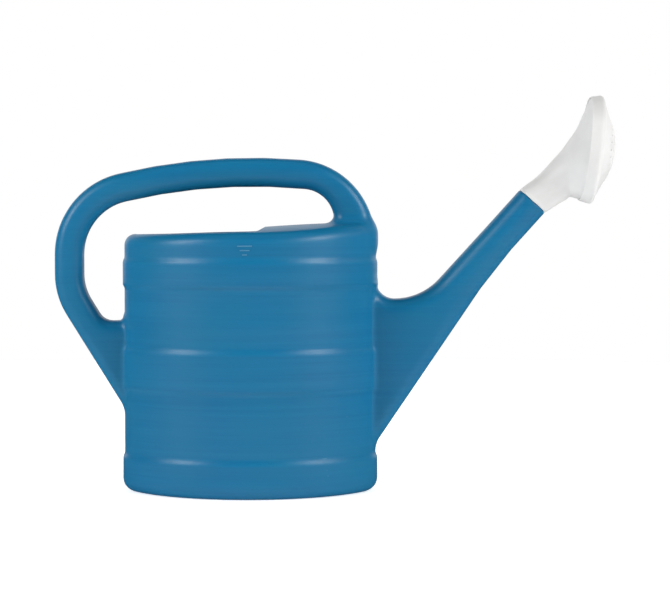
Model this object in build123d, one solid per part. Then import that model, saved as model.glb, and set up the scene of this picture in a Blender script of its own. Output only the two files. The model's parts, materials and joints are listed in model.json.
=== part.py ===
from build123d import *
import math
import os

# Five-litre watering can with a push-on rose.  Millimetres.
# Origin: middle of the tank's base, on the floor.  +Z up, +X toward the spout,
# Y across; the XZ plane is the mould's parting plane and the plane of symmetry.

# ---- moulded wall, and how far the passages through it draw in --------------
wall = 1.5
passage_inset = 4.0

# ---- tank: four-arc oval in plan, upright walls, three proud bands ---------
tank_half_length = 105.3
tank_half_width = 74.0
tank_end_radius = 36.0
band_proud = 1.5
band_slope_rise = 3.0
base_band_top = 32.0
middle_band = (86.0, 122.0)
top_band = (172.0, 197.0)
base_radius = 11.0
base_recess_depth = 2.0
base_recess_inset = 24.0
shoulder_radius = 8.0

# roof of the tank: (station along X, height on the centre line, crown radius)
roof_stations = ((-118.0, 215.8, 3000.0), (-50.0, 217.6, 1800.0),
                 (12.0, 221.7, 520.0), (118.0, 224.5, 350.0))

# filling mouth, cut in the rear half of the roof
mouth_ledge = 10.0
mouth_front = 12.6
mouth_front_radius = 368.0
mouth_corner = 12.0

# ---- handle: flat-sided hollow bow, side outline made of tangent arcs ------
grip_depth = 23.8
grip_half_width = 13.5
grip_edge = 9.0
bow_centre = (2.8, -208.3)
bow_radius = 487.9
front_bend_radius = 67.5
rear_bend_radius = 69.5
rear_reach = 163.5
heel_centre = (-98.5, 182.5)
heel_radius = 65.0
heel_slope = 58.2
heel_gap_floor = 143.2
heel_gap_radius = 12.8
heel_wall_radius = 6.0
heel_wall_lift = 15.0
front_reach = 104.7
front_gap_radius = 27.0
front_gap_x = 43.9
foot_turn = 20.0
foot_gap_turn = 5.0
foot_depth = 190.0

# ---- spout: tube on a flat-sided web --------------------------------------
spout_slope = 48.0
spout_end = (236.8, 243.2)
spout_radius = 13.95
tube_run = 150.0
web_half_width = 13.7
web_edge = 10.5
web_valley = 161.5
web_root_radius = 16.0
web_throat_radius = 51.0
web_toe = (108.4, 44.3)
web_bend = (193.6, 170.2)
web_tail = 42.0

# ---- rose -----------------------------------------------------------------
running_gap = 0.05
rose_wall = 1.4
socket_inside = 22.0
socket_outside = 4.0
socket_wall = 1.65
neck_radius = 14.3
neck_bore = 11.4
face_slope = -6.0
face_seat = (280.5, 287.4)
rim_radius = 42.6
rim_start = 1.0
rim_end = 8.6
# flare of the housing: (X, Z, slope of the section's axis, radius)
flare_stations = ((253.1, 254.9, 37.7, 15.1), (263.2, 264.9, 12.8, 18.9),
                  (268.5, 270.7, 2.5, 24.0), (273.4, 275.2, -1.6, 29.2),
                  (277.5, 280.8, -3.6, 35.4))
skirt_rear_radius = 44.2
skirt_front_radius = 45.4
skirt_depth = 9.5
seat_inner_radius = 40.8
dome_radius = 54.0
dome_edge = 28.0
dome_height = 16.0
cone_edge = 42.0
cone_height = 2.0
hole_diameter = 1.8
hole_ring_pitch = 6.0
hole_rings = 4


def polar(centre, radius, angle):
    """Point at an angle in degrees on a circle."""
    turn = math.radians(angle)
    return (centre[0] + radius * math.cos(turn), centre[1] + radius * math.sin(turn))


def upright(face, half_width):
    """Extrude an outline drawn in the XZ plane to both sides of it."""
    return extrude(Plane.XZ * face, amount=half_width, both=True)


def soften_sides(solid, half_width, radius, keep):
    """Round the long edges that lie in the two side planes."""
    edges = [e for e in solid.edges() if abs(abs(e.center().Y) - half_width) < 0.01]
    return fillet([e for e in edges if keep(e.center())], radius)


# ---- tank -----------------------------------------------------------------
def oval(grow):
    """Plan of the tank, grown outward by an even amount."""
    end_radius = tank_end_radius + grow
    reach = tank_half_length - tank_end_radius
    rise = tank_half_width - tank_end_radius
    side_offset = (reach**2 - rise**2) / (2 * rise)
    side_radius = side_offset + tank_half_width + grow
    split = math.degrees(math.atan2(side_offset, reach))
    arcs = [
        CenterArc((reach, 0), end_radius, -split, 2 * split),
        CenterArc((0, -side_offset), side_radius, split, 180 - 2 * split),
        CenterArc((-reach, 0), end_radius, 180 - split, 2 * split),
        CenterArc((0, side_offset), side_radius, 180 + split, 180 - 2 * split),
    ]
    return make_face(arcs)


def slab(grow, low, high):
    """Oval block between two heights."""
    return extrude(Pos(0, 0, low) * oval(grow), amount=high - low)


def raised_band(low, high, inset):
    """Proud band with sloped upper and lower edges."""
    block = slab(band_proud - inset, low, high)
    rims = block.edges().filter_by(lambda e: abs(e.center().Z - low) < 0.01)
    rims += block.edges().filter_by(lambda e: abs(e.center().Z - high) < 0.01)
    return chamfer(rims, band_slope_rise, band_proud - 0.1)


def base_block(inset):
    """Lowest band, rounded under and recessed in the middle."""
    block = slab(band_proud - inset, inset, base_band_top)
    top = block.edges().filter_by(lambda e: abs(e.center().Z - base_band_top) < 0.01)
    block = chamfer(top, band_slope_rise, band_proud - 0.1)
    bottom = block.edges().filter_by(lambda e: abs(e.center().Z - inset) < 0.01)
    block = fillet(bottom, base_radius - inset)
    recess = slab(inset - base_recess_inset, 0, base_recess_depth + inset)
    lip = recess.edges().filter_by(lambda e: e.center().Z > base_recess_depth + inset - 0.01)
    return block - chamfer(lip, 1.5)


def roof(inset):
    """Everything below the crowned roof."""
    sections = []
    for station, height, radius in roof_stations:
        top = height - inset
        edge = top - radius + math.sqrt(radius**2 - 90.0**2)
        section = Plane((station, 0, 0), x_dir=(0, 1, 0), z_dir=(1, 0, 0))
        outline = [
            ThreePointArc((-90, edge), (0, top), (90, edge)),
            Line((90, edge), (90, 10)),
            Line((90, 10), (-90, 10)),
            Line((-90, 10), (-90, edge)),
        ]
        sections.append(section * make_face(outline))
    return loft(sections)


def tank_body(inset):
    """The tank as a full solid, drawn in by an even amount."""
    core = slab(-inset, base_radius + 4, 240.0) & roof(inset)
    top_edges = core.edges().filter_by(lambda e: e.center().Z > 205.0 and e.length > 20)
    core = fillet(top_edges, shoulder_radius - inset)
    bands = raised_band(*middle_band, inset) + raised_band(*top_band, inset)
    return core + bands + base_block(inset)


def mouth():
    """Cutter for the filling mouth."""
    front = Pos(mouth_front - mouth_front_radius, 0) * Circle(mouth_front_radius)
    outline = oval(-mouth_ledge) & front
    corners = outline.vertices().filter_by(lambda v: v.X > 0)
    outline = fillet(corners, mouth_corner)
    return extrude(Pos(0, 0, 205) * outline, amount=40)


# ---- handle ---------------------------------------------------------------
def inside_tangent(x, radius, big_radius):
    """Centre of an arc inside the bow's circle and tangent to it."""
    across = x - bow_centre[0]
    up = math.sqrt((big_radius - radius)**2 - across**2)
    centre = (x, bow_centre[1] + up)
    return centre, math.degrees(math.atan2(up, across))


def handle_outline():
    """Side outline of the handle with both its ends buried in the tank."""
    gap_bow = bow_radius - grip_depth
    front, front_angle = inside_tangent(front_reach - front_bend_radius,
                                        front_bend_radius, bow_radius)
    rear, rear_angle = inside_tangent(rear_bend_radius - rear_reach, rear_bend_radius, bow_radius)
    nose, nose_angle = inside_tangent(front_gap_x, front_gap_radius, gap_bow)
    heel_turn = 90 - heel_slope
    gap_rear = rear_bend_radius - grip_depth
    gap_heel = heel_radius - grip_depth
    foot_front = polar(front, front_bend_radius, -foot_turn)
    foot_back = polar(nose, front_gap_radius, -foot_gap_turn)

    heel_low = polar(heel_centre, heel_radius, 180 + heel_turn)
    buried = -90.0
    heel_tip = (buried, heel_low[1] - (buried - heel_low[0]) * math.tan(math.radians(heel_slope)))
    gap_low = polar(heel_centre, gap_heel, 180 + heel_turn)
    bowl_z = heel_gap_floor + heel_gap_radius
    bowl_start_z = bowl_z - heel_gap_radius * math.sin(math.radians(heel_turn))
    bowl_start_x = gap_low[0] + (gap_low[1] - bowl_start_z) / math.tan(math.radians(heel_slope))
    bowl_x = bowl_start_x + heel_gap_radius * math.cos(math.radians(heel_turn))
    corner = (-tank_half_length - heel_wall_radius, heel_gap_floor + heel_wall_radius)
    ledge = polar(corner, heel_wall_radius, -heel_wall_lift)

    outline = [
        CenterArc(front, front_bend_radius, -foot_turn, front_angle + foot_turn),
        CenterArc(bow_centre, bow_radius, front_angle, rear_angle - front_angle),
        CenterArc(rear, rear_bend_radius, rear_angle, 180 - rear_angle),
        Line((-rear_reach, rear[1]), (-rear_reach, heel_centre[1])),
        CenterArc(heel_centre, heel_radius, 180, heel_turn),
        Line(heel_low, heel_tip),
        Line(heel_tip, (buried, ledge[1])),
        Line((buried, ledge[1]), ledge),
        CenterArc(corner, heel_wall_radius, -heel_wall_lift, heel_wall_lift - 90),
        Line((corner[0], heel_gap_floor), (bowl_x, heel_gap_floor)),
        CenterArc((bowl_x, bowl_z), heel_gap_radius, 270, heel_turn - 90),
        Line((bowl_start_x, bowl_start_z), gap_low),
        CenterArc(heel_centre, gap_heel, 180 + heel_turn, -heel_turn),
        Line((grip_depth - rear_reach, heel_centre[1]), (grip_depth - rear_reach, rear[1])),
        CenterArc(rear, gap_rear, 180, rear_angle - 180),
        CenterArc(bow_centre, gap_bow, rear_angle, nose_angle - rear_angle),
        CenterArc(nose, front_gap_radius, nose_angle, -foot_gap_turn - nose_angle),
        Line(foot_back, (foot_back[0], foot_depth)),
        Line((foot_back[0], foot_depth), foot_front),
    ]
    return make_face(outline)


def handle_body(inset):
    """The handle as a full solid, drawn in by an even amount."""
    outline = offset(handle_outline(), -inset) if inset else handle_outline()
    half_width = grip_half_width - inset
    return soften_sides(upright(outline, half_width), half_width, grip_edge - inset,
                        lambda c: c.Z > 225 or c.X < -107)


# ---- spout ----------------------------------------------------------------
along_spout = (math.cos(math.radians(spout_slope)), math.sin(math.radians(spout_slope)))
spout_frame = Plane((spout_end[0], 0, spout_end[1]), x_dir=(0, 1, 0),
                    z_dir=(along_spout[0], 0, along_spout[1]))


def beside_spout(back, side):
    """Point in the XZ plane, measured from the end of the spout."""
    return (spout_end[0] - back * along_spout[0] - side * along_spout[1],
            spout_end[1] - back * along_spout[1] + side * along_spout[0])


def web_outline():
    """Side outline of the web under and over the tube, buried in the tank."""
    root = (tank_half_length + web_root_radius, web_valley + web_root_radius)
    throat = (root[0], web_valley + web_throat_radius)
    tail_top = beside_spout(web_tail, spout_radius - 0.8)
    tail_low = beside_spout(web_tail, 0.8 - spout_radius)
    span = math.dist(tail_top, throat)
    bearing = math.degrees(math.atan2(tail_top[1] - throat[1], tail_top[0] - throat[0]))
    lean = bearing - math.degrees(math.acos(web_throat_radius / span))
    touch = polar(throat, web_throat_radius, lean)
    buried = 94.0
    toe_slope = (web_bend[1] - web_toe[1]) / (web_bend[0] - web_toe[0])
    toe = (buried, web_toe[1] - (web_toe[0] - buried) * toe_slope)
    outline = [
        Line((buried, root[1]), (tank_half_length, root[1])),
        CenterArc(root, web_root_radius, 180, 90),
        CenterArc(throat, web_throat_radius, 270, lean + 90),
        Line(touch, tail_top),
        Line(tail_top, tail_low),
        Line(tail_low, web_bend),
        Line(web_bend, toe),
        Line(toe, (buried, root[1])),
    ]
    return make_face(outline)


def spout_body(inset):
    """The spout as a full solid, drawn in by an even amount."""
    outline = offset(web_outline(), -inset) if inset else web_outline()
    half_width = web_half_width - inset
    web = soften_sides(upright(outline, half_width), half_width, web_edge - inset,
                       lambda c: c.X > 107)
    tube = spout_frame * Pos(0, 0, -tube_run) * Cylinder(
        spout_radius - inset, tube_run, align=(Align.CENTER, Align.CENTER, Align.MIN))
    return web + tube


# ---- the one-piece can, split into three regions --------------------------
passages = handle_body(passage_inset) + spout_body(passage_inset)
tank = tank_body(0) - tank_body(wall) - mouth() - passages
handle = handle_body(0) - tank_body(0) - handle_body(wall)
spout = spout_body(0) - tank_body(0) - spout_body(wall)


# ---- rose -----------------------------------------------------------------
def ring(radius, low, high):
    """Round plug along the local Z axis."""
    return Pos(0, 0, low) * Cylinder(
        radius, high - low, align=(Align.CENTER, Align.CENTER, Align.MIN))


socket_radius = spout_radius - wall - running_gap
socket = ring(socket_radius, -socket_inside, socket_outside)
socket -= ring(socket_radius - socket_wall, -socket_inside, socket_outside)
rose_socket = spout_frame * socket

face_turn = math.radians(face_slope)
face_frame = Plane((face_seat[0], 0, face_seat[1]), x_dir=(0, 1, 0),
                   z_dir=(math.cos(face_turn), 0, math.sin(face_turn)))


def flare(start_radius, thinning):
    """Bent trumpet from the neck to the rim, as a full solid."""
    sections = [spout_frame * Pos(0, 0, running_gap) * Circle(start_radius)]
    for x, z, slope, radius in flare_stations:
        turn = math.radians(slope)
        station = Plane((x, 0, z), x_dir=(0, 1, 0), z_dir=(math.cos(turn), 0, math.sin(turn)))
        sections.append(station * Circle(radius - thinning))
    sections.append(face_frame * Pos(0, 0, rim_start) * Circle(rim_radius - thinning))
    return sum((loft(pair) for pair in zip(sections, sections[1:])), Part())


bore = flare(neck_bore, rose_wall) + face_frame * ring(rim_radius - rose_wall, rim_start, rim_end)
bore += spout_frame * ring(spout_radius - wall, 0, socket_outside + running_gap)
rose_housing = flare(neck_radius, 0) + face_frame * ring(rim_radius, rim_start, rim_end) - bore

# face plate: skirt, cone and perforated dome turned about the face's axis
dome_centre = skirt_depth + dome_height - dome_radius
dome_edge_z = dome_centre + math.sqrt(dome_radius**2 - dome_edge**2)
cone_edge_z = skirt_depth + cone_height
cone_slope = math.atan2(dome_edge_z - cone_edge_z, cone_edge - dome_edge)
inner_dome = dome_radius - rose_wall
inner_step = rose_wall / math.cos(cone_slope)
cone_fall = math.tan(cone_slope)
seat_z = rim_end + running_gap
skirt_bore = rim_radius + running_gap
inner_edge_z = dome_centre + math.sqrt(inner_dome**2 - dome_edge**2)
seat_top_z = cone_edge_z + (cone_edge - seat_inner_radius) * cone_fall - inner_step
dome_mid = polar((0, dome_centre), dome_radius, 75)
inner_mid = polar((0, dome_centre), inner_dome, 75)
plate_outline = [
    Line((skirt_bore, 0), (skirt_rear_radius, 0)),
    Line((skirt_rear_radius, 0), (skirt_front_radius, skirt_depth - 1)),
    ThreePointArc((skirt_front_radius, skirt_depth - 1), (44.5, skirt_depth + 1.0),
                  (cone_edge, cone_edge_z)),
    Line((cone_edge, cone_edge_z), (dome_edge, dome_edge_z)),
    ThreePointArc((dome_edge, dome_edge_z), dome_mid, (0, dome_centre + dome_radius)),
    Line((0, dome_centre + dome_radius), (0, dome_centre + inner_dome)),
    ThreePointArc((0, dome_centre + inner_dome), inner_mid, (dome_edge, inner_edge_z)),
    Line((dome_edge, inner_edge_z), (seat_inner_radius, seat_top_z)),
    Line((seat_inner_radius, seat_top_z), (seat_inner_radius, seat_z)),
    Line((seat_inner_radius, seat_z), (skirt_bore, seat_z)),
    Line((skirt_bore, seat_z), (skirt_bore, 0)),
]
plate = revolve(Plane.XZ * make_face(plate_outline), Axis.Z)
for circle_number in range(hole_rings + 1):
    count = max(1, 6 * circle_number)
    for place in range(count):
        x, y = polar((0, 0), hole_ring_pitch * circle_number, 360 * place / count)
        plate -= Pos(x, y, 0) * ring(hole_diameter / 2, skirt_depth, skirt_depth + 20)
rose_plate = face_frame * plate

os.makedirs("parts", exist_ok=True)
for name, shape in (("tank", tank), ("handle", handle), ("spout", spout),
                    ("rose_socket", rose_socket), ("rose_housing", rose_housing),
                    ("rose_plate", rose_plate)):
    export_step(shape, f"parts/{name}.step")
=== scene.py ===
import json
import math

import bmesh
import bpy
import numpy as np
import openvdb
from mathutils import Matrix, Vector


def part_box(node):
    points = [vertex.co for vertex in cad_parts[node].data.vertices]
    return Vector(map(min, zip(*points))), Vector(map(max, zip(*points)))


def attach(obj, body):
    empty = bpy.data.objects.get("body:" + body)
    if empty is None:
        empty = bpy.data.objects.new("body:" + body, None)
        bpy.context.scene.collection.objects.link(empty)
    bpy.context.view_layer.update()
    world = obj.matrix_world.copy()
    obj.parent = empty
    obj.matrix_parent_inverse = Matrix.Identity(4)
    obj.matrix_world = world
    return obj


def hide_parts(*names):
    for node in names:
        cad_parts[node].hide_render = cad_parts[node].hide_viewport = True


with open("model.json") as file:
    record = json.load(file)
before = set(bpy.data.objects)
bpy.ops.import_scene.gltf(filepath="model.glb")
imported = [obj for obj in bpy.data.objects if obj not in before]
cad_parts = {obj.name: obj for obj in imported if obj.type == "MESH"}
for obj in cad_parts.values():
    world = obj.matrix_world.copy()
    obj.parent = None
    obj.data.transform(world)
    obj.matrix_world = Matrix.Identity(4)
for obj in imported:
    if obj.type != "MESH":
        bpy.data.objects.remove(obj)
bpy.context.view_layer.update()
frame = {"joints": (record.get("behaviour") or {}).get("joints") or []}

# Shapes are worked out in millimetres and scaled when a mesh is made.
MM = 0.001


def corners_mm(node):
    """A CAD node's lowest and highest corners in millimetres."""
    return [np.array(corner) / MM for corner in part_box(node)]


def joint(name):
    """A joint of the frame by its name."""
    return next(j for j in frame["joints"] if j["name"] == name)


# ---- sizes taken from the frame --------------------------------------------
TANK_HIGH = corners_mm("tank")[1]
HANDLE_LOW, HANDLE_HIGH = corners_mm("handle")
SPOUT_END = np.array(joint("rose_twist")["pos_m"])[[0, 2]] / MM
SPOUT_AXIS = np.array(joint("rose_twist")["axis"])[[0, 2]]
FACE_AXIS = np.array(joint("plate_snap")["axis"])[[0, 2]]

# ---- the can's own measures: the CAD's, to within a millimetre --------------
WALL = 1.5
BAND_PROUD = 1.5
HALF_LENGTH = TANK_HIGH[0] - BAND_PROUD
HALF_WIDTH = TANK_HIGH[1] - BAND_PROUD
END_RADIUS = 36.0
BASE_RADIUS = 11.0
BASE_RECESS = 2.0
SHOULDER_RADIUS = 9.0
# each band: start and end of its lower slope, start and end of its upper slope
BANDS = ((-20.0, -10.0, 28.0, 33.0), (85.0, 88.0, 118.0, 122.5), (171.0, 173.5, 192.0, 197.0))
ROOF_STATIONS = ((-118.0, 215.8), (-50.0, 217.4), (12.0, 221.7), (118.0, 224.5))
ROOF_BOW = (0.0003, 0.0019)
MOUTH_LEDGE = 10.0
MOUTH_FRONT = 12.6
MOUTH_FRONT_RADIUS = 368.0
MOUTH_CORNER = 12.0

GRIP_DEPTH = 23.8
GRIP_HALF_WIDTH = HANDLE_HIGH[1]
GRIP_EDGE = 9.5
BOW_CENTRE = (2.8, -208.3)
BOW_RADIUS = 487.9
FRONT_BEND = 67.5
FRONT_REACH = 104.7
REAR_BEND = 69.5
REAR_REACH = -HANDLE_LOW[0]
HEEL_CENTRE = (-98.5, 182.5)
HEEL_RADIUS = 65.0
HEEL_SLOPE = 58.2
HEEL_FLOOR = 143.2
HEEL_BOWL = 12.8
HEEL_FILLET = 5.0
NOSE_X = 43.9
NOSE_RADIUS = 27.0
NOSE_END = -5.0
FOOT_TURN = 20.0
FOOT_DEPTH = 190.0

SPOUT_RADIUS = 13.95
WEB_HALF_WIDTH = 13.8
WEB_TAIL = 42.0
SPOUT_SPARE = 8.0
WEB_EDGE = 10.5
WEB_VALLEY = 161.5
WEB_ROOT = 16.0
WEB_THROAT = 51.0
WEB_TOE = (108.4, 44.3)
WEB_BEND = (193.6, 170.2)

# ---- the rose's own measures: the CAD's, to within a millimetre -------------
NECK_RADIUS = 14.3
NECK_BORE = 11.4
NECK_STEP = 4.05
NECK_LIP = 0.5
FACE_SEAT = SPOUT_END + np.array([43.7, 44.2])
ROSE_WALL = 1.4
# flare of the rose: offset of each section from the spout's end, its slope, its radius
FLARE = (((16.3, 11.7), 37.7, 15.1), ((26.4, 21.7), 12.8, 18.9), ((31.7, 27.5), 2.5, 24.0),
         ((36.6, 32.0), -1.6, 29.2), ((40.7, 37.6), -3.6, 35.4))
FLARE_STEPS = 10
RIM_RADIUS = 42.6
RIM_START = 1.0
RIM_END = 8.6
RIM_EDGE = 0.4
RIM_BEVEL = 0.3
SKIRT_REAR = 43.6
SKIRT_FRONT = 45.4
SKIRT_DEPTH = 9.5
SKIRT_EDGE = 3.0
SEAT_INNER = 40.8
DOME_RADIUS = 54.0
DOME_EDGE = 28.0
DOME_HEIGHT = 16.0
CONE_EDGE = 42.0
CONE_HEIGHT = 2.0
HOLE_RADIUS = 0.9
HOLE_EDGE = 0.25
HOLE_PITCH = 6.0
HOLE_RINGS = 4
RUNNING_GAP = 0.05
SPIGOT_WALL = 1.65
# places along the spigot and how far each lies inside its outer radius
SPIGOT_OUTSIDE = ((4.0, 0.0), (4.0, 0.0), (0.0, 0.0), (-4.0, 0.0), (-17.0, 0.0),
                  (-18.0, 0.1), (-21.4, 0.7), (-22.0, 1.0))
SPIGOT_INSIDE = ((-22.0, -0.2), (-21.8, 0.0), (-12.0, 0.0), (0.0, 0.0), (4.0, 0.0))

# ---- details that only the visual model has ----------------------------------
BLEND = 3.0
DECK_BLEND = 8.0
SEAM_REACH = 0.2
SEAM_PROUD = 0.22
END_ROUNDING = 1.4
END_PINCH = 0.6
END_CUTS = (1.4, 0.7, 0.25, 0.0)
# raised fill mark: half length and height of each bar, and the section of a bar
LEVEL_X = -1.5
LEVEL_BARS = ((6.0, 206.5), (4.0, 203.0), (2.0, 199.5))
LEVEL_SECTION = ((-0.6, -0.5), (-0.5, 0.25), (-0.2, 0.5), (0.2, 0.5), (0.5, 0.25), (0.6, -0.5))
LEVEL_POINTS = 9

# ---- meshing -------------------------------------------------------------------
CAN_PITCH = 2.5
SEAM_PITCH = 0.8
BAND_PITCH = 1.4
PLAIN_PITCH = 3.0
PLATE_PITCH = 0.62
PLATE_DEPTH_PITCH = 0.55
RING_POINTS = 112
SETTLE_ROUNDS = 4
SETTLE_REACH = 0.8
# heights in metres between which the roof lies
ROOF_ZONE = (0.206, 0.232)


# ---- field arithmetic: negative inside, positive outside, millimetres --------
def smooth(value, low, high):
    """Rises smoothly from 0 to 1 between two values."""
    t = np.clip((value - low) / (high - low), 0.0, 1.0)
    return t * t * (3.0 - 2.0 * t)


def both(a, b, radius):
    """Inside both fields, with a round edge."""
    u, v = a + radius, b + radius
    return np.hypot(np.maximum(u, 0), np.maximum(v, 0)) + np.minimum(np.maximum(u, v), 0) - radius


def either(a, b, radius):
    """Inside either field, with a round inner corner."""
    return -both(-a, -b, radius)


def arc(centre, radius, start, turn):
    """Points along an arc in a plane, about one for every four degrees."""
    count = max(3, int(abs(turn) / 4) + 2)
    angles = np.radians(start + turn * np.linspace(0, 1, count))
    return np.column_stack([centre[0] + radius * np.cos(angles),
                            centre[1] + radius * np.sin(angles)])


def outline_field(u, v, outline):
    """Signed distance to a closed outline in its own plane."""
    u, v = np.broadcast_arrays(u, v)
    places = np.column_stack([u.ravel(), v.ravel()])
    starts, spans = outline, np.roll(outline, -1, axis=0) - outline
    lengths = np.maximum((spans**2).sum(1), 1e-12)
    result = np.empty(len(places))
    for first in range(0, len(places), 20000):
        part = places[first:first + 20000, None, :]
        off = part - starts
        along = np.clip((off * spans).sum(2) / lengths, 0, 1)
        near = np.sqrt(((off - along[..., None] * spans)**2).sum(2).min(1))
        height = off[..., 1]
        crosses = (height >= 0) != (height >= spans[:, 1])
        reach = spans[:, 0] * height / np.where(spans[:, 1] == 0, 1e-12, spans[:, 1])
        inside = (crosses & (off[..., 0] < reach)).sum(1) % 2 == 1
        result[first:first + 20000] = np.where(inside, -near, near)
    return result.reshape(u.shape)


# ---- the can ---------------------------------------------------------------
def plan_field(x, y):
    """Distance to the tank's four-arc oval in plan."""
    reach, rise = HALF_LENGTH - END_RADIUS, HALF_WIDTH - END_RADIUS
    offset = (reach**2 - rise**2) / (2 * rise)
    across, side = np.abs(x), np.abs(y)
    end = np.hypot(across - reach, side) - END_RADIUS
    flank = np.hypot(across, side + offset) - (offset + HALF_WIDTH)
    return np.where(offset * across > reach * (side + offset), end, flank)


def roof_height(x, y):
    """Height of the crowned roof."""
    stations = np.array(ROOF_STATIONS)
    crown = np.polyval(np.polyfit(stations[:, 0], stations[:, 1], 3), x)
    bow = ROOF_BOW[0] + (ROOF_BOW[1] - ROOF_BOW[0]) * smooth(x, -60.0, 110.0)
    return crown - bow * y**2


def tank_field(x, y, z):
    """The tank with its bands, rounded base and crowned roof."""
    plan = plan_field(x, y)
    band = sum(smooth(z, a, b) * (1 - smooth(z, c, d)) for a, b, c, d in BANDS)
    floor = BASE_RECESS * (1 - smooth(plan, -25.0, -20.0))
    upright = both(plan - BAND_PROUD * band, floor - z, BASE_RADIUS)
    return both(upright, z - roof_height(x, y), SHOULDER_RADIUS)


def inside_tangent(x, radius, big_radius):
    """Centre of an arc inside the bow's circle and tangent to it, and its bearing."""
    across = x - BOW_CENTRE[0]
    up = math.sqrt((big_radius - radius)**2 - across**2)
    return (x, BOW_CENTRE[1] + up), math.degrees(math.atan2(up, across))


def handle_outline():
    """Side outline of the handle, both ends buried in the tank."""
    gap_bow = BOW_RADIUS - GRIP_DEPTH
    front, front_turn = inside_tangent(FRONT_REACH - FRONT_BEND, FRONT_BEND, BOW_RADIUS)
    rear, rear_turn = inside_tangent(REAR_BEND - REAR_REACH, REAR_BEND, BOW_RADIUS)
    nose, nose_turn = inside_tangent(NOSE_X, NOSE_RADIUS, gap_bow)
    lean = 90 - HEEL_SLOPE
    slope = math.tan(math.radians(HEEL_SLOPE))
    outer_heel = arc(HEEL_CENTRE, HEEL_RADIUS, 180, lean)
    buried = -90.0
    toe = (buried, outer_heel[-1, 1] - (buried - outer_heel[-1, 0]) * slope)
    inner_heel = arc(HEEL_CENTRE, HEEL_RADIUS - GRIP_DEPTH, 180 + lean, -lean)
    bowl_z = HEEL_FLOOR + HEEL_BOWL
    start_z = bowl_z - HEEL_BOWL * math.sin(math.radians(lean))
    start_x = inner_heel[0, 0] + (inner_heel[0, 1] - start_z) / slope
    bowl = (start_x + HEEL_BOWL * math.cos(math.radians(lean)), bowl_z)
    corner = (-HALF_LENGTH - HEEL_FILLET, HEEL_FLOOR + HEEL_FILLET)
    fillet = arc(corner, HEEL_FILLET, 0, -90)
    nose_arc = arc(nose, NOSE_RADIUS, nose_turn, NOSE_END - nose_turn)
    return np.vstack([
        arc(front, FRONT_BEND, -FOOT_TURN, front_turn + FOOT_TURN),
        arc(BOW_CENTRE, BOW_RADIUS, front_turn, rear_turn - front_turn),
        arc(rear, REAR_BEND, rear_turn, 180 - rear_turn),
        outer_heel,
        [toe, (buried, corner[1])],
        fillet,
        arc(bowl, HEEL_BOWL, 270, lean - 90),
        inner_heel,
        arc(rear, REAR_BEND - GRIP_DEPTH, 180, rear_turn - 180),
        arc(BOW_CENTRE, gap_bow, rear_turn, nose_turn - rear_turn),
        nose_arc,
        [(nose_arc[-1, 0], FOOT_DEPTH)],
    ])


def beside_spout(ahead, side):
    """Point in the XZ plane, measured from the end of the spout along and across it."""
    across = np.array([-SPOUT_AXIS[1], SPOUT_AXIS[0]])
    return SPOUT_END + ahead * SPOUT_AXIS + side * across


def spout_outline():
    """Side outline of the spout and its web, running on past the spout's end."""
    root = (HALF_LENGTH + WEB_ROOT, WEB_VALLEY + WEB_ROOT)
    throat = (root[0], WEB_VALLEY + WEB_THROAT)
    neck_top = beside_spout(-WEB_TAIL, SPOUT_RADIUS)
    span = math.dist(neck_top, throat)
    bearing = math.degrees(math.atan2(neck_top[1] - throat[1], neck_top[0] - throat[0]))
    lean = bearing - math.degrees(math.acos(WEB_THROAT / span))
    buried = 94.0
    slope = (WEB_BEND[1] - WEB_TOE[1]) / (WEB_BEND[0] - WEB_TOE[0])
    return np.vstack([
        [(buried, root[1])],
        arc(root, WEB_ROOT, 180, 90),
        arc(throat, WEB_THROAT, 270, lean + 90),
        [neck_top, beside_spout(SPOUT_SPARE, SPOUT_RADIUS),
         beside_spout(SPOUT_SPARE, -SPOUT_RADIUS),
         beside_spout(-WEB_TAIL, -SPOUT_RADIUS), WEB_BEND,
         (buried, WEB_TOE[1] - (WEB_TOE[0] - buried) * slope)],
    ])


HANDLE_OUTLINE = handle_outline()
SPOUT_OUTLINE = spout_outline()


def can_field(x, y, z):
    """Tank, handle and spout blown as one body."""
    handle = both(outline_field(x, z, HANDLE_OUTLINE), np.abs(y) - GRIP_HALF_WIDTH, GRIP_EDGE)
    ahead = (x - SPOUT_END[0]) * SPOUT_AXIS[0] + (z - SPOUT_END[1]) * SPOUT_AXIS[1]
    roundness = smooth(ahead, -170.0, -85.0)
    edge = WEB_EDGE + (SPOUT_RADIUS - 0.05 - WEB_EDGE) * roundness
    half_width = WEB_HALF_WIDTH + (SPOUT_RADIUS - WEB_HALF_WIDTH) * roundness
    spout = both(outline_field(x, z, SPOUT_OUTLINE), np.abs(y) - half_width, edge)
    on_deck = smooth(z, 195.0, 210.0) * smooth(x, 0.0, 40.0)
    blend = BLEND + (DECK_BLEND - BLEND) * on_deck
    body = either(tank_field(x, y, z), handle, blend)
    return either(body, spout, BLEND)


def levels(low, high, marks, fine, coarse, reach):
    """Sampling planes, closer together near the marks."""
    places = [low]
    while places[-1] < high:
        gap = min(abs(places[-1] - mark) for mark in marks)
        places.append(places[-1] + fine + (coarse - fine) * min(1.0, gap / reach))
    return np.array(places)


def mirrored(places):
    """The same planes on both sides of zero."""
    return np.concatenate([-places[::-1], places])


def gradient(points, field, step=0.02):
    """Slope of a field at each point."""
    slopes = np.empty_like(points)
    for axis in range(3):
        shift = np.zeros(3)
        shift[axis] = step
        slopes[:, axis] = (field(*(points + shift).T) - field(*(points - shift).T)) / (2 * step)
    return slopes


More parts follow.
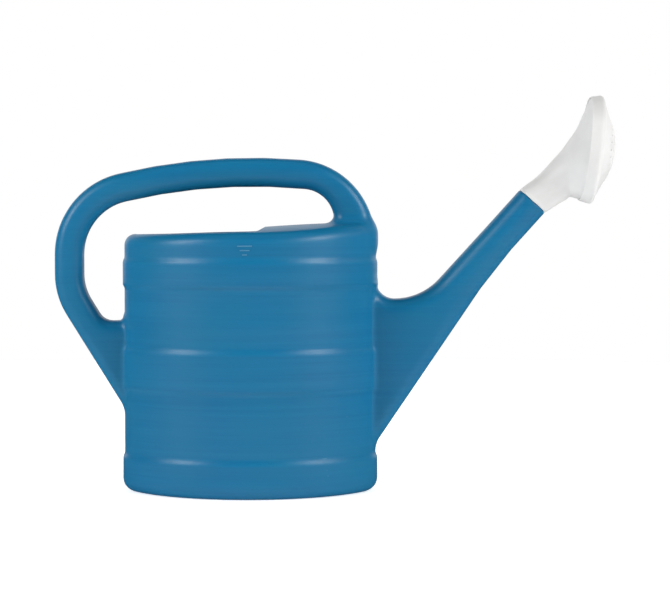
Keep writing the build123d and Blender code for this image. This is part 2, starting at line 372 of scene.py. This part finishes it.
def skin(field, xs, ys, zs, cap):
    """Quads on a field's zero surface, with every point settled exactly on it."""
    values = np.clip(field(xs[:, None, None], ys[None, :, None], zs[None, None, :]), -cap, cap)
    grid = openvdb.FloatGrid(cap)
    grid.copyFromArray(np.ascontiguousarray(values, dtype=np.float32))
    places, quads = grid.convertToQuads(0.0)
    axes = (xs, ys, zs)
    points = np.column_stack([np.interp(places[:, i], np.arange(len(a)), a)
                              for i, a in enumerate(axes)])
    for _ in range(SETTLE_ROUNDS):
        slope = gradient(points, field)
        move = slope * (field(*points.T) / np.maximum((slope**2).sum(1), 0.05))[:, None]
        points -= np.clip(move, -SETTLE_REACH, SETTLE_REACH)
    first, second, third = (points[quads[:, i]] for i in (0, 1, 2))
    facing = np.einsum("ij,ij->i", np.cross(second - first, third - first),
                       gradient(first, field))
    return points, quads[:, ::-1] if np.median(facing) < 0 else quads


def new_object(name, mesh):
    """An object with smooth faces, in the scene."""
    mesh.polygons.foreach_set("use_smooth", [True] * len(mesh.polygons))
    made = bpy.data.objects.new(name, mesh)
    bpy.context.scene.collection.objects.link(made)
    return made


def apply_modifiers(made):
    """Bakes an object's modifiers into its mesh."""
    bpy.context.view_layer.update()
    settled = bpy.data.meshes.new_from_object(
        made.evaluated_get(bpy.context.evaluated_depsgraph_get()))
    made.modifiers.clear()
    made.data = settled


def mouth_field(x, y):
    """Distance to the filling mouth's outline in plan."""
    front = np.hypot(x - (MOUTH_FRONT - MOUTH_FRONT_RADIUS), y) - MOUTH_FRONT_RADIUS
    return both(plan_field(x, y) + MOUTH_LEDGE, front, MOUTH_CORNER)


def on_roof(place):
    """Whether a place in metres is on the roof, by its height."""
    return ROOF_ZONE[0] < place.z < ROOF_ZONE[1]


def beside_mouth(place):
    """Distance of a place in metres to the mouth's outline, in millimetres."""
    return float(mouth_field(place.x / MM, place.y / MM))


def open_mouth(bm):
    """Cuts the filling mouth out of the roof along its outline."""
    value = {vert: beside_mouth(vert.co) for vert in bm.verts if on_roof(vert.co)}
    crossing = []
    for edge in list(bm.edges):
        a, b = edge.verts
        if a in value and b in value and value[a] * value[b] < 0:
            share = value[a] / (value[a] - value[b])
            crossing.append(bmesh.utils.edge_split(edge, a, share)[1])
    bmesh.ops.connect_verts(bm, verts=crossing)
    inner = [face for face in bm.faces if on_roof(face.calc_center_median())
             and beside_mouth(face.calc_center_median()) < 0]
    bmesh.ops.delete(bm, geom=inner, context="FACES")


def trim_spout(bm):
    """Cuts the spout off square, at its end, and rounds the cut edge."""
    end = Vector((SPOUT_END[0], 0, SPOUT_END[1])) * MM
    axis = Vector((SPOUT_AXIS[0], 0, SPOUT_AXIS[1]))
    for back in END_CUTS:
        near = [f for f in bm.faces if (f.calc_center_median() - end).dot(axis) > -0.006]
        geom = set(near)
        for face in near:
            geom.update(face.edges)
            geom.update(face.verts)
        bmesh.ops.bisect_plane(bm, geom=list(geom), plane_co=end - axis * back * MM,
                               plane_no=axis, clear_outer=back == 0.0)
    for vert in bm.verts:
        ahead = (vert.co - end).dot(axis) / MM
        if ahead > -END_ROUNDING:
            middle = end + axis * ahead * MM
            bow = max(0.0, END_ROUNDING**2 - (ahead + END_ROUNDING)**2)
            drop = END_ROUNDING - math.sqrt(bow)
            vert.co = middle + (vert.co - middle) * (1 - END_PINCH * drop / SPOUT_RADIUS)


def make_can():
    """The one-piece blow moulding, with its wall."""
    edges = [v for band in BANDS for v in band if v > 0]
    xs = levels(-170.0, 262.0, [0.0], CAN_PITCH, CAN_PITCH, 1.0)
    ys = mirrored(levels(0.35, 80.0, [0.35], SEAM_PITCH, CAN_PITCH, 5.0))
    zs = levels(-4.0, 286.0, edges + [2.0, 212.0, 218.0, 222.0], BAND_PITCH, PLAIN_PITCH, 6.0)
    points, quads = skin(can_field, xs, ys, zs, 8.0)
    normals = gradient(points, can_field)
    on_seam = (np.abs(points[:, 1]) < SEAM_REACH) & (points[:, 2] > 1.0)
    points[on_seam] += SEAM_PROUD * normals[on_seam]
    mesh = bpy.data.meshes.new("can_moulding")
    mesh.from_pydata((points * MM).tolist(), [], quads.tolist())
    bm = bmesh.new()
    bm.from_mesh(mesh)
    open_mouth(bm)
    trim_spout(bm)
    bmesh.ops.remove_doubles(bm, verts=bm.verts, dist=0.0001)
    bm.to_mesh(mesh)
    bm.free()
    can = new_object("can_moulding", mesh)
    shell = can.modifiers.new("wall", "SOLIDIFY")
    shell.thickness = WALL * MM
    shell.offset = -1
    shell.use_even_offset = True
    apply_modifiers(can)
    return can


# ---- the rose ----------------------------------------------------------------
def ring_mesh(name, rings):
    """Closed skin through a loop of rings that have equally many points."""
    count = len(rings[0])
    points = [tuple(p * MM) for ring in rings for p in ring]
    faces = []
    for i in range(len(rings)):
        j = (i + 1) % len(rings)
        for k in range(count):
            m = (k + 1) % count
            faces.append((i * count + k, j * count + k, j * count + m, i * count + m))
    mesh = bpy.data.meshes.new(name)
    mesh.from_pydata(points, [], faces)
    mesh.validate()
    bm = bmesh.new()
    bm.from_mesh(mesh)
    bmesh.ops.recalc_face_normals(bm, faces=bm.faces)
    bm.to_mesh(mesh)
    bm.free()
    return new_object(name, mesh)


def circle(centre, slope, radius, count=RING_POINTS):
    """Ring of points round an axis that lies in the XZ plane at a slope in degrees."""
    turns = np.linspace(0, 2 * math.pi, count, endpoint=False)
    lean = math.radians(slope)
    up = np.array([-math.sin(lean), 0, math.cos(lean)])
    middle = np.array([centre[0], 0, centre[1]])
    return (middle + radius * np.sin(turns)[:, None] * np.array([0, 1, 0])
            + radius * np.cos(turns)[:, None] * up)


SPOUT_SLOPE = math.degrees(math.atan2(SPOUT_AXIS[1], SPOUT_AXIS[0]))
FACE_SLOPE = math.degrees(math.atan2(FACE_AXIS[1], FACE_AXIS[0]))


def eased(stations, steps):
    """Smooth rows between stations, Catmull-Rom."""
    rows = np.array(stations, float)
    padded = np.vstack([2 * rows[0] - rows[1], rows, 2 * rows[-1] - rows[-2]])
    made = []
    for i in range(1, len(padded) - 2):
        a, b, c, d = padded[i - 1:i + 3]
        for t in np.linspace(0, 1, steps, endpoint=False):
            made.append(0.5 * (2 * b + (c - a) * t + (2 * a - 5 * b + 4 * c - d) * t**2
                               + (3 * b - a - 3 * c + d) * t**3))
    made.append(rows[-1])
    return made


def make_housing():
    """Neck and trumpet of the rose, with its rim."""
    start = beside_spout(RUNNING_GAP, 0)
    rim = FACE_SEAT + RIM_START * FACE_AXIS
    flare = [(*start, SPOUT_SLOPE, NECK_RADIUS)]
    flare += [(*(SPOUT_END + offset), slope, radius) for offset, slope, radius in FLARE]
    flare.append((*rim, FACE_SLOPE, RIM_RADIUS))
    outer = eased(flare, FLARE_STEPS)
    rings = [circle(start, SPOUT_SLOPE, NECK_RADIUS - NECK_LIP),
             circle(beside_spout(0.3, 0), SPOUT_SLOPE, NECK_RADIUS - 0.1)]
    rings += [circle(row[:2], row[2], row[3]) for row in outer[1:]]
    for along in np.linspace(RIM_START, RIM_END - RIM_EDGE, 6)[1:]:
        rings.append(circle(FACE_SEAT + along * FACE_AXIS, FACE_SLOPE, RIM_RADIUS))
    front = FACE_SEAT + RIM_END * FACE_AXIS
    inside = RIM_RADIUS - ROSE_WALL
    rings.append(circle(front, FACE_SLOPE, RIM_RADIUS - RIM_EDGE))
    rings.append(circle(front, FACE_SLOPE, inside + RIM_BEVEL))
    rings.append(circle(front - RIM_BEVEL * FACE_AXIS, FACE_SLOPE, inside))
    for along in np.linspace(RIM_END - 2 * RIM_BEVEL, RIM_START, 5):
        rings.append(circle(FACE_SEAT + along * FACE_AXIS, FACE_SLOPE, inside))
    inner = eased([(*beside_spout(4.1, -0.2), 46.0, NECK_BORE)]
                  + [(x, z, s, r - ROSE_WALL) for x, z, s, r in flare[1:]], FLARE_STEPS)
    rings += [circle(row[:2], row[2], row[3]) for row in inner[::-1][1:]]
    step = beside_spout(NECK_STEP, 0)
    bore = SPOUT_RADIUS - WALL
    rings += [circle(step, SPOUT_SLOPE, NECK_BORE), circle(step, SPOUT_SLOPE, bore),
              circle(beside_spout(0.4, 0), SPOUT_SLOPE, bore),
              circle(start, SPOUT_SLOPE, bore + 0.35)]
    return ring_mesh("rose_trumpet", rings)


def make_spigot():
    """The plug that the rose pushes into the spout."""
    radius = SPOUT_RADIUS - WALL - RUNNING_GAP
    bore = radius - SPIGOT_WALL
    profile = [(ahead, radius - inset) for ahead, inset in SPIGOT_OUTSIDE]
    profile += [(ahead, bore - inset) for ahead, inset in SPIGOT_INSIDE]
    rings = [circle(beside_spout(ahead, 0), SPOUT_SLOPE, r) for ahead, r in profile]
    return ring_mesh("rose_spigot", rings)


def plate_outline():
    """Half section of the face plate: radius and height above the seat."""
    centre = SKIRT_DEPTH + DOME_HEIGHT - DOME_RADIUS
    edge_top = centre + math.sqrt(DOME_RADIUS**2 - DOME_EDGE**2)
    cone_top = SKIRT_DEPTH + CONE_HEIGHT
    slope = math.atan2(edge_top - cone_top, CONE_EDGE - DOME_EDGE)
    start = math.degrees(math.acos(DOME_EDGE / DOME_RADIUS))
    inner = DOME_RADIUS - ROSE_WALL
    inner_start = math.degrees(math.acos(DOME_EDGE / inner))
    drop = ROSE_WALL / math.cos(slope)
    seat_top = cone_top + (CONE_EDGE - SEAT_INNER) * math.tan(slope) - drop
    bore = RIM_RADIUS + RUNNING_GAP
    seat = RIM_END + RUNNING_GAP
    return np.vstack([
        [(bore, 0), (SKIRT_REAR, 0), (SKIRT_FRONT, SKIRT_DEPTH - 1.5)],
        arc((SKIRT_FRONT - SKIRT_EDGE, SKIRT_DEPTH - 1.2), SKIRT_EDGE, 0, 72),
        [(CONE_EDGE - 0.6, cone_top + 0.1)],
        arc((0, centre), DOME_RADIUS, start, 90 - start),
        [(-6.0, centre + DOME_RADIUS), (-6.0, centre + inner)],
        arc((0, centre), inner, 90, inner_start - 90),
        [(SEAT_INNER, seat_top), (SEAT_INNER, seat), (bore, seat)],
    ])


PLATE_OUTLINE = plate_outline()


def hole_places():
    """Centres of the holes on the face plate: one in the middle, then rings."""
    places = [(0.0, 0.0)]
    for number in range(1, HOLE_RINGS + 1):
        for place in range(6 * number):
            turn = 2 * math.pi * place / (6 * number)
            radius = HOLE_PITCH * number
            places.append((radius * math.cos(turn), radius * math.sin(turn)))
    return np.array(places)


HOLES = hole_places()


def plate_field(x, y, z):
    """The face plate in its own frame: z along its axis, from the seat."""
    section = outline_field(np.hypot(x, y), z, PLATE_OUTLINE)
    hole = np.full(np.broadcast(x, y).shape, 1e9)
    for u, v in HOLES:
        hole = np.minimum(hole, np.hypot(x - u, y - v))
    wide = np.where(z < SKIRT_DEPTH, -1.0, HOLE_RADIUS)
    return both(section, wide - hole, HOLE_EDGE)


def make_plate():
    """The perforated face plate."""
    xs = mirrored(np.arange(PLATE_PITCH / 2, SKIRT_FRONT + 2, PLATE_PITCH))
    zs = np.arange(-1.5, SKIRT_DEPTH + DOME_HEIGHT + 2, PLATE_DEPTH_PITCH)
    points, quads = skin(plate_field, xs, xs, zs, 2.0)
    lean = math.radians(FACE_SLOPE)
    across = np.array([0, 1, 0])
    along = np.array([math.cos(lean), 0, math.sin(lean)])
    up = np.array([-math.sin(lean), 0, math.cos(lean)])
    seat = np.array([FACE_SEAT[0], 0, FACE_SEAT[1]])
    placed = seat + points[:, :1] * across + points[:, 1:2] * up + points[:, 2:] * along
    mesh = bpy.data.meshes.new("rose_face")
    mesh.from_pydata((placed * MM).tolist(), [], quads.tolist())
    bm = bmesh.new()
    bm.from_mesh(mesh)
    bmesh.ops.recalc_face_normals(bm, faces=bm.faces)
    bm.to_mesh(mesh)
    bm.free()
    return new_object("rose_face", mesh)


# ---- materials ------------------------------------------------------------------
DEEP_BLUE = (0.0035, 0.112, 0.245, 1.0)
LIGHT_BLUE = (0.0065, 0.140, 0.282, 1.0)
GREEN_BLUE = (0.005, 0.136, 0.255, 1.0)
SCUFF_BLUE = (0.25, 0.42, 0.55, 1.0)
# painted highlight: a paler blue for the fill mark's raised bars, standing in for the light they
# catch
MARK_HIGHLIGHT_BLUE = (0.18, 0.38, 0.52, 1.0)
DULL_WHITE = (0.62, 0.62, 0.612, 1.0)
CLEAR_WHITE = (0.67, 0.67, 0.662, 1.0)
# share of the painted highlight blue on the fill mark
MARK_HIGHLIGHT_SHARE = 0.3


def node(tree, kind, settings=None, **inputs):
    """A shader node with some of its inputs set or linked."""
    made = tree.nodes.new(kind)
    for key, value in (settings or {}).items():
        setattr(made, key, value)
    for key, value in inputs.items():
        socket = made.inputs[int(key[1:]) if key[0] == "_" else key.replace("_", " ")]
        if isinstance(value, bpy.types.NodeSocket):
            tree.links.new(value, socket)
        else:
            socket.default_value = value
    return made


def blank_material(name):
    """A material with a shader and object coordinates ready to use."""
    material = bpy.data.materials.new(name)
    material.use_nodes = True
    tree = material.node_tree
    tree.nodes.clear()
    shader = tree.nodes.new("ShaderNodeBsdfPrincipled")
    output = tree.nodes.new("ShaderNodeOutputMaterial")
    tree.links.new(shader.outputs[0], output.inputs["Surface"])
    place = tree.nodes.new("ShaderNodeTexCoord").outputs["Object"]
    return material, tree, shader, place


def noise(tree, place, scale, stretch, detail=3.0, rough=0.5):
    """Noise with its own stretch along X, Y and Z."""
    spread = node(tree, "ShaderNodeMapping", Vector=place, Scale=stretch).outputs[0]
    return node(tree, "ShaderNodeTexNoise", Vector=spread, Scale=scale, Detail=detail,
                Roughness=rough).outputs["Fac"]


def between(tree, value, low, high, to_low, to_high):
    """Maps a value from one range to another."""
    return node(tree, "ShaderNodeMapRange", Value=value, From_Min=low, From_Max=high,
                To_Min=to_low, To_Max=to_high).outputs[0]


def mixed(tree, factor, first, second):
    """Mixes two colours."""
    return node(tree, "ShaderNodeMix", {"data_type": "RGBA"}, _0=factor, _6=first,
                _7=second).outputs[2]


def can_material(name, pale=0.0):
    """Blue blow-moulded polyethylene: level drawing streaks, faint clouds, fine grain, scuffs, and
    a paler blue mixed in by the pale share as painted highlight.
    """
    material, tree, shader, place = blank_material(name)
    streak = noise(tree, place, 1.0, (7.0, 7.0, 420.0), 4.0, 0.6)
    broad = noise(tree, place, 1.0, (5.0, 5.0, 90.0), 2.0, 0.5)
    cloud = noise(tree, place, 14.0, (1.0, 1.0, 1.0), 2.0, 0.5)
    grain = noise(tree, place, 1400.0, (1.0, 1.0, 1.0), 2.0, 0.5)
    tone = mixed(tree, between(tree, streak, 0.3, 0.7, 0.1, 0.9), DEEP_BLUE, LIGHT_BLUE)
    tone = mixed(tree, between(tree, cloud, 0.35, 0.65, 0.0, 0.45), tone, GREEN_BLUE)
    fine = noise(tree, place, 1.0, (60.0, 60.0, 900.0), 2.0, 0.7)
    scratch = between(tree, fine, 0.735, 0.78, 0.0, 0.35)
    patch = between(tree, noise(tree, place, 22.0, (1.0, 1.0, 1.0), 1.0), 0.55, 0.62, 0.0, 1.0)
    scuff = node(tree, "ShaderNodeMath", {"operation": "MULTIPLY"}, _0=scratch, _1=patch).outputs[0]
    tone = mixed(tree, scuff, tone, SCUFF_BLUE)
    # painted highlight: the paler blue mixed in by the pale share
    tone = mixed(tree, pale, tone, MARK_HIGHLIGHT_BLUE)
    tree.links.new(tone, shader.inputs["Base Color"])
    rough = between(tree, broad, 0.3, 0.7, 0.33, 0.43)
    tree.links.new(rough, shader.inputs["Roughness"])
    height = node(tree, "ShaderNodeMath", {"operation": "MULTIPLY_ADD"}, _0=grain, _1=0.18,
                  _2=streak).outputs[0]
    bump = node(tree, "ShaderNodeBump", Height=height, Strength=0.35, Distance=0.00012)
    tree.links.new(bump.outputs[0], shader.inputs["Normal"])
    shader.inputs["IOR"].default_value = 1.5
    shader.inputs["Subsurface Weight"].default_value = 0.06
    shader.inputs["Subsurface Radius"].default_value = (0.2, 0.6, 1.0)
    shader.inputs["Subsurface Scale"].default_value = 0.002
    return material


def rose_material():
    """White polyethylene that lets a little light through, with faint flow clouds."""
    material, tree, shader, place = blank_material("rose_white")
    flow = noise(tree, place, 45.0, (1.0, 1.0, 1.4), 3.0, 0.55)
    grain = noise(tree, place, 1600.0, (1.0, 1.0, 1.0), 2.0, 0.5)
    tone = mixed(tree, between(tree, flow, 0.3, 0.7, 0.0, 1.0), DULL_WHITE, CLEAR_WHITE)
    tree.links.new(tone, shader.inputs["Base Color"])
    tree.links.new(between(tree, flow, 0.3, 0.7, 0.36, 0.46), shader.inputs["Roughness"])
    bump = node(tree, "ShaderNodeBump", Height=grain, Strength=0.25, Distance=0.00005)
    tree.links.new(bump.outputs[0], shader.inputs["Normal"])
    shader.inputs["IOR"].default_value = 1.5
    shader.inputs["Subsurface Weight"].default_value = 0.5
    shader.inputs["Subsurface Radius"].default_value = (1.0, 1.0, 0.95)
    shader.inputs["Subsurface Scale"].default_value = 0.0025
    return material


# ---- raised level mark ------------------------------------------------------------
def make_level_mark():
    """A plain fill mark on the near side: three raised bars that get shorter downward."""
    bm = bmesh.new()
    for half_length, height in LEVEL_BARS:
        across = np.linspace(-half_length, half_length, LEVEL_POINTS)
        edges = []
        for rise, proud in LEVEL_SECTION:
            z = height + rise
            row = [Vector((x + LEVEL_X, wall_side(x + LEVEL_X, z) - proud, z)) * MM for x in across]
            edges.append([bm.verts.new(place) for place in row])
        for low, high in zip(edges, edges[1:] + edges[:1]):
            for k in range(len(across) - 1):
                bm.faces.new((low[k], low[k + 1], high[k + 1], high[k]))
        for end in (0, -1):
            bm.faces.new([edge[end] for edge in edges])
    bmesh.ops.recalc_face_normals(bm, faces=bm.faces)
    mesh = bpy.data.meshes.new("level_mark")
    bm.to_mesh(mesh)
    bm.free()
    made = new_object("level_mark", mesh)
    made.data.polygons.foreach_set("use_smooth", [False] * len(made.data.polygons))
    return made


def wall_side(x, z):
    """Y of the tank's near wall at a place seen from the side."""
    low, high = -HALF_WIDTH - 5.0, 0.0
    for _ in range(40):
        middle = (low + high) / 2
        inside = tank_field(np.array(x), np.array(middle), np.array(z)) < 0
        low, high = (low, middle) if inside else (middle, high)
    return high


# ---- stage ------------------------------------------------------------------------
CAMERA_PLACE = (0.0714, -1.8, 0.2276)
CAMERA_AIM = (0.0714, 0.0, 0.1604)
CAMERA_LENS = 115.1
CAMERA_SENSOR = 36.0
FLOOR_RADIUS = 1.7
FLOOR_GLOW = 0.58
WHITE = (1.0, 1.0, 1.0, 1.0)
MIDDLE = (0.03, 0.0, 0.15)
# name, place, aim, size, power, and whether the light shows in reflections
LIGHTS = (("left_box", (-2.4, -1.35, 1.65), MIDDLE, (0.9, 1.4), 31.0, True),
          ("right_box", (2.45, -1.35, 1.65), MIDDLE, (0.9, 1.4), 33.0, True),
          ("left_fill", (-2.8, -1.7, 0.9), MIDDLE, (2.0, 2.4), 70.0, False),
          ("right_fill", (2.8, -1.7, 0.9), MIDDLE, (2.0, 2.4), 70.0, False),
          ("top_fill", (0.0, -0.5, 3.0), MIDDLE, (2.4, 1.0), 18.0, False),
          ("back_screen", (0.0, 2.6, 1.3), (0.0, 0.0, 1.3), (6.0, 2.6), 45.0, True))


def turn_toward(made, place, aim):
    """Stands a camera or light at a place and turns it toward another."""
    made.location = place
    made.rotation_mode = "QUATERNION"
    made.rotation_quaternion = (Vector(aim) - Vector(place)).to_track_quat("-Z", "Y")


def make_camera():
    """Level view from the side, a little above the rim."""
    camera = bpy.data.objects.new("camera", bpy.data.cameras.new("camera"))
    bpy.context.scene.collection.objects.link(camera)
    turn_toward(camera, CAMERA_PLACE, CAMERA_AIM)
    camera.data.lens = CAMERA_LENS
    camera.data.sensor_width = CAMERA_SENSOR
    camera.data.clip_end = 50.0
    bpy.context.scene.camera = camera


def make_floor():
    """Round pale floor that melts into the white surround."""
    bm = bmesh.new()
    bmesh.ops.create_circle(bm, cap_ends=True, segments=128, radius=FLOOR_RADIUS)
    mesh = bpy.data.meshes.new("floor")
    bm.to_mesh(mesh)
    bm.free()
    floor = new_object("floor", mesh)
    material = bpy.data.materials.new("floor")
    material.use_nodes = True
    shader = material.node_tree.nodes["Principled BSDF"]
    shader.inputs["Base Color"].default_value = (0.93, 0.93, 0.93, 1.0)
    shader.inputs["Roughness"].default_value = 0.9
    shader.inputs["Emission Color"].default_value = WHITE
    shader.inputs["Emission Strength"].default_value = FLOOR_GLOW
    floor.data.materials.append(material)
    floor.visible_glossy = False


def area_light(name, place, aim, size, power, glossy):
    """A soft light that faces a point; a fill light is left out of reflections."""
    data = bpy.data.lights.new(name, "AREA")
    data.shape = "RECTANGLE"
    data.size, data.size_y = size
    data.energy = power
    light = bpy.data.objects.new(name, data)
    turn_toward(light, place, aim)
    light.visible_camera = False
    light.visible_glossy = glossy
    bpy.context.scene.collection.objects.link(light)


def make_lights():
    """Two high soft boxes for the highlights, wide fills, a white screen and surround."""
    for light in LIGHTS:
        area_light(*light)
    world = bpy.data.worlds.new("studio")
    bpy.context.scene.world = world
    world.use_nodes = True
    background = world.node_tree.nodes["Background"]
    background.inputs["Color"].default_value = WHITE
    background.inputs["Strength"].default_value = 1.0
    world.cycles_visibility.diffuse = False
    world.cycles_visibility.glossy = False
    world.cycles_visibility.transmission = False
    bpy.context.scene.view_settings.view_transform = "Standard"


# ---- assembly -----------------------------------------------------------------------
def place_piece(piece, body, slot, material, *stands_for):
    """Gives a piece its body, material and the CAD nodes it stands for; its slot is not used."""
    piece.data.materials.clear()
    piece.data.materials.append(material)
    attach(piece, body)
    if stands_for:
        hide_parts(*stands_for)


make_camera()
make_floor()
make_lights()
blue, white = can_material("can_blue"), rose_material()
place_piece(make_can(), "can", "can_plastic", blue, "tank", "handle", "spout")
# the fill mark takes a paler copy of the can's blue: painted highlight on its bars
place_piece(make_level_mark(), "can", "can_plastic", can_material("mark_blue_painted_highlight", MARK_HIGHLIGHT_SHARE))
place_piece(make_spigot(), "socket", "rose_plastic", white, "rose_socket")
place_piece(make_housing(), "rose", "rose_plastic", white, "rose_housing")
place_piece(make_plate(), "face", "rose_plastic", white, "rose_plate")
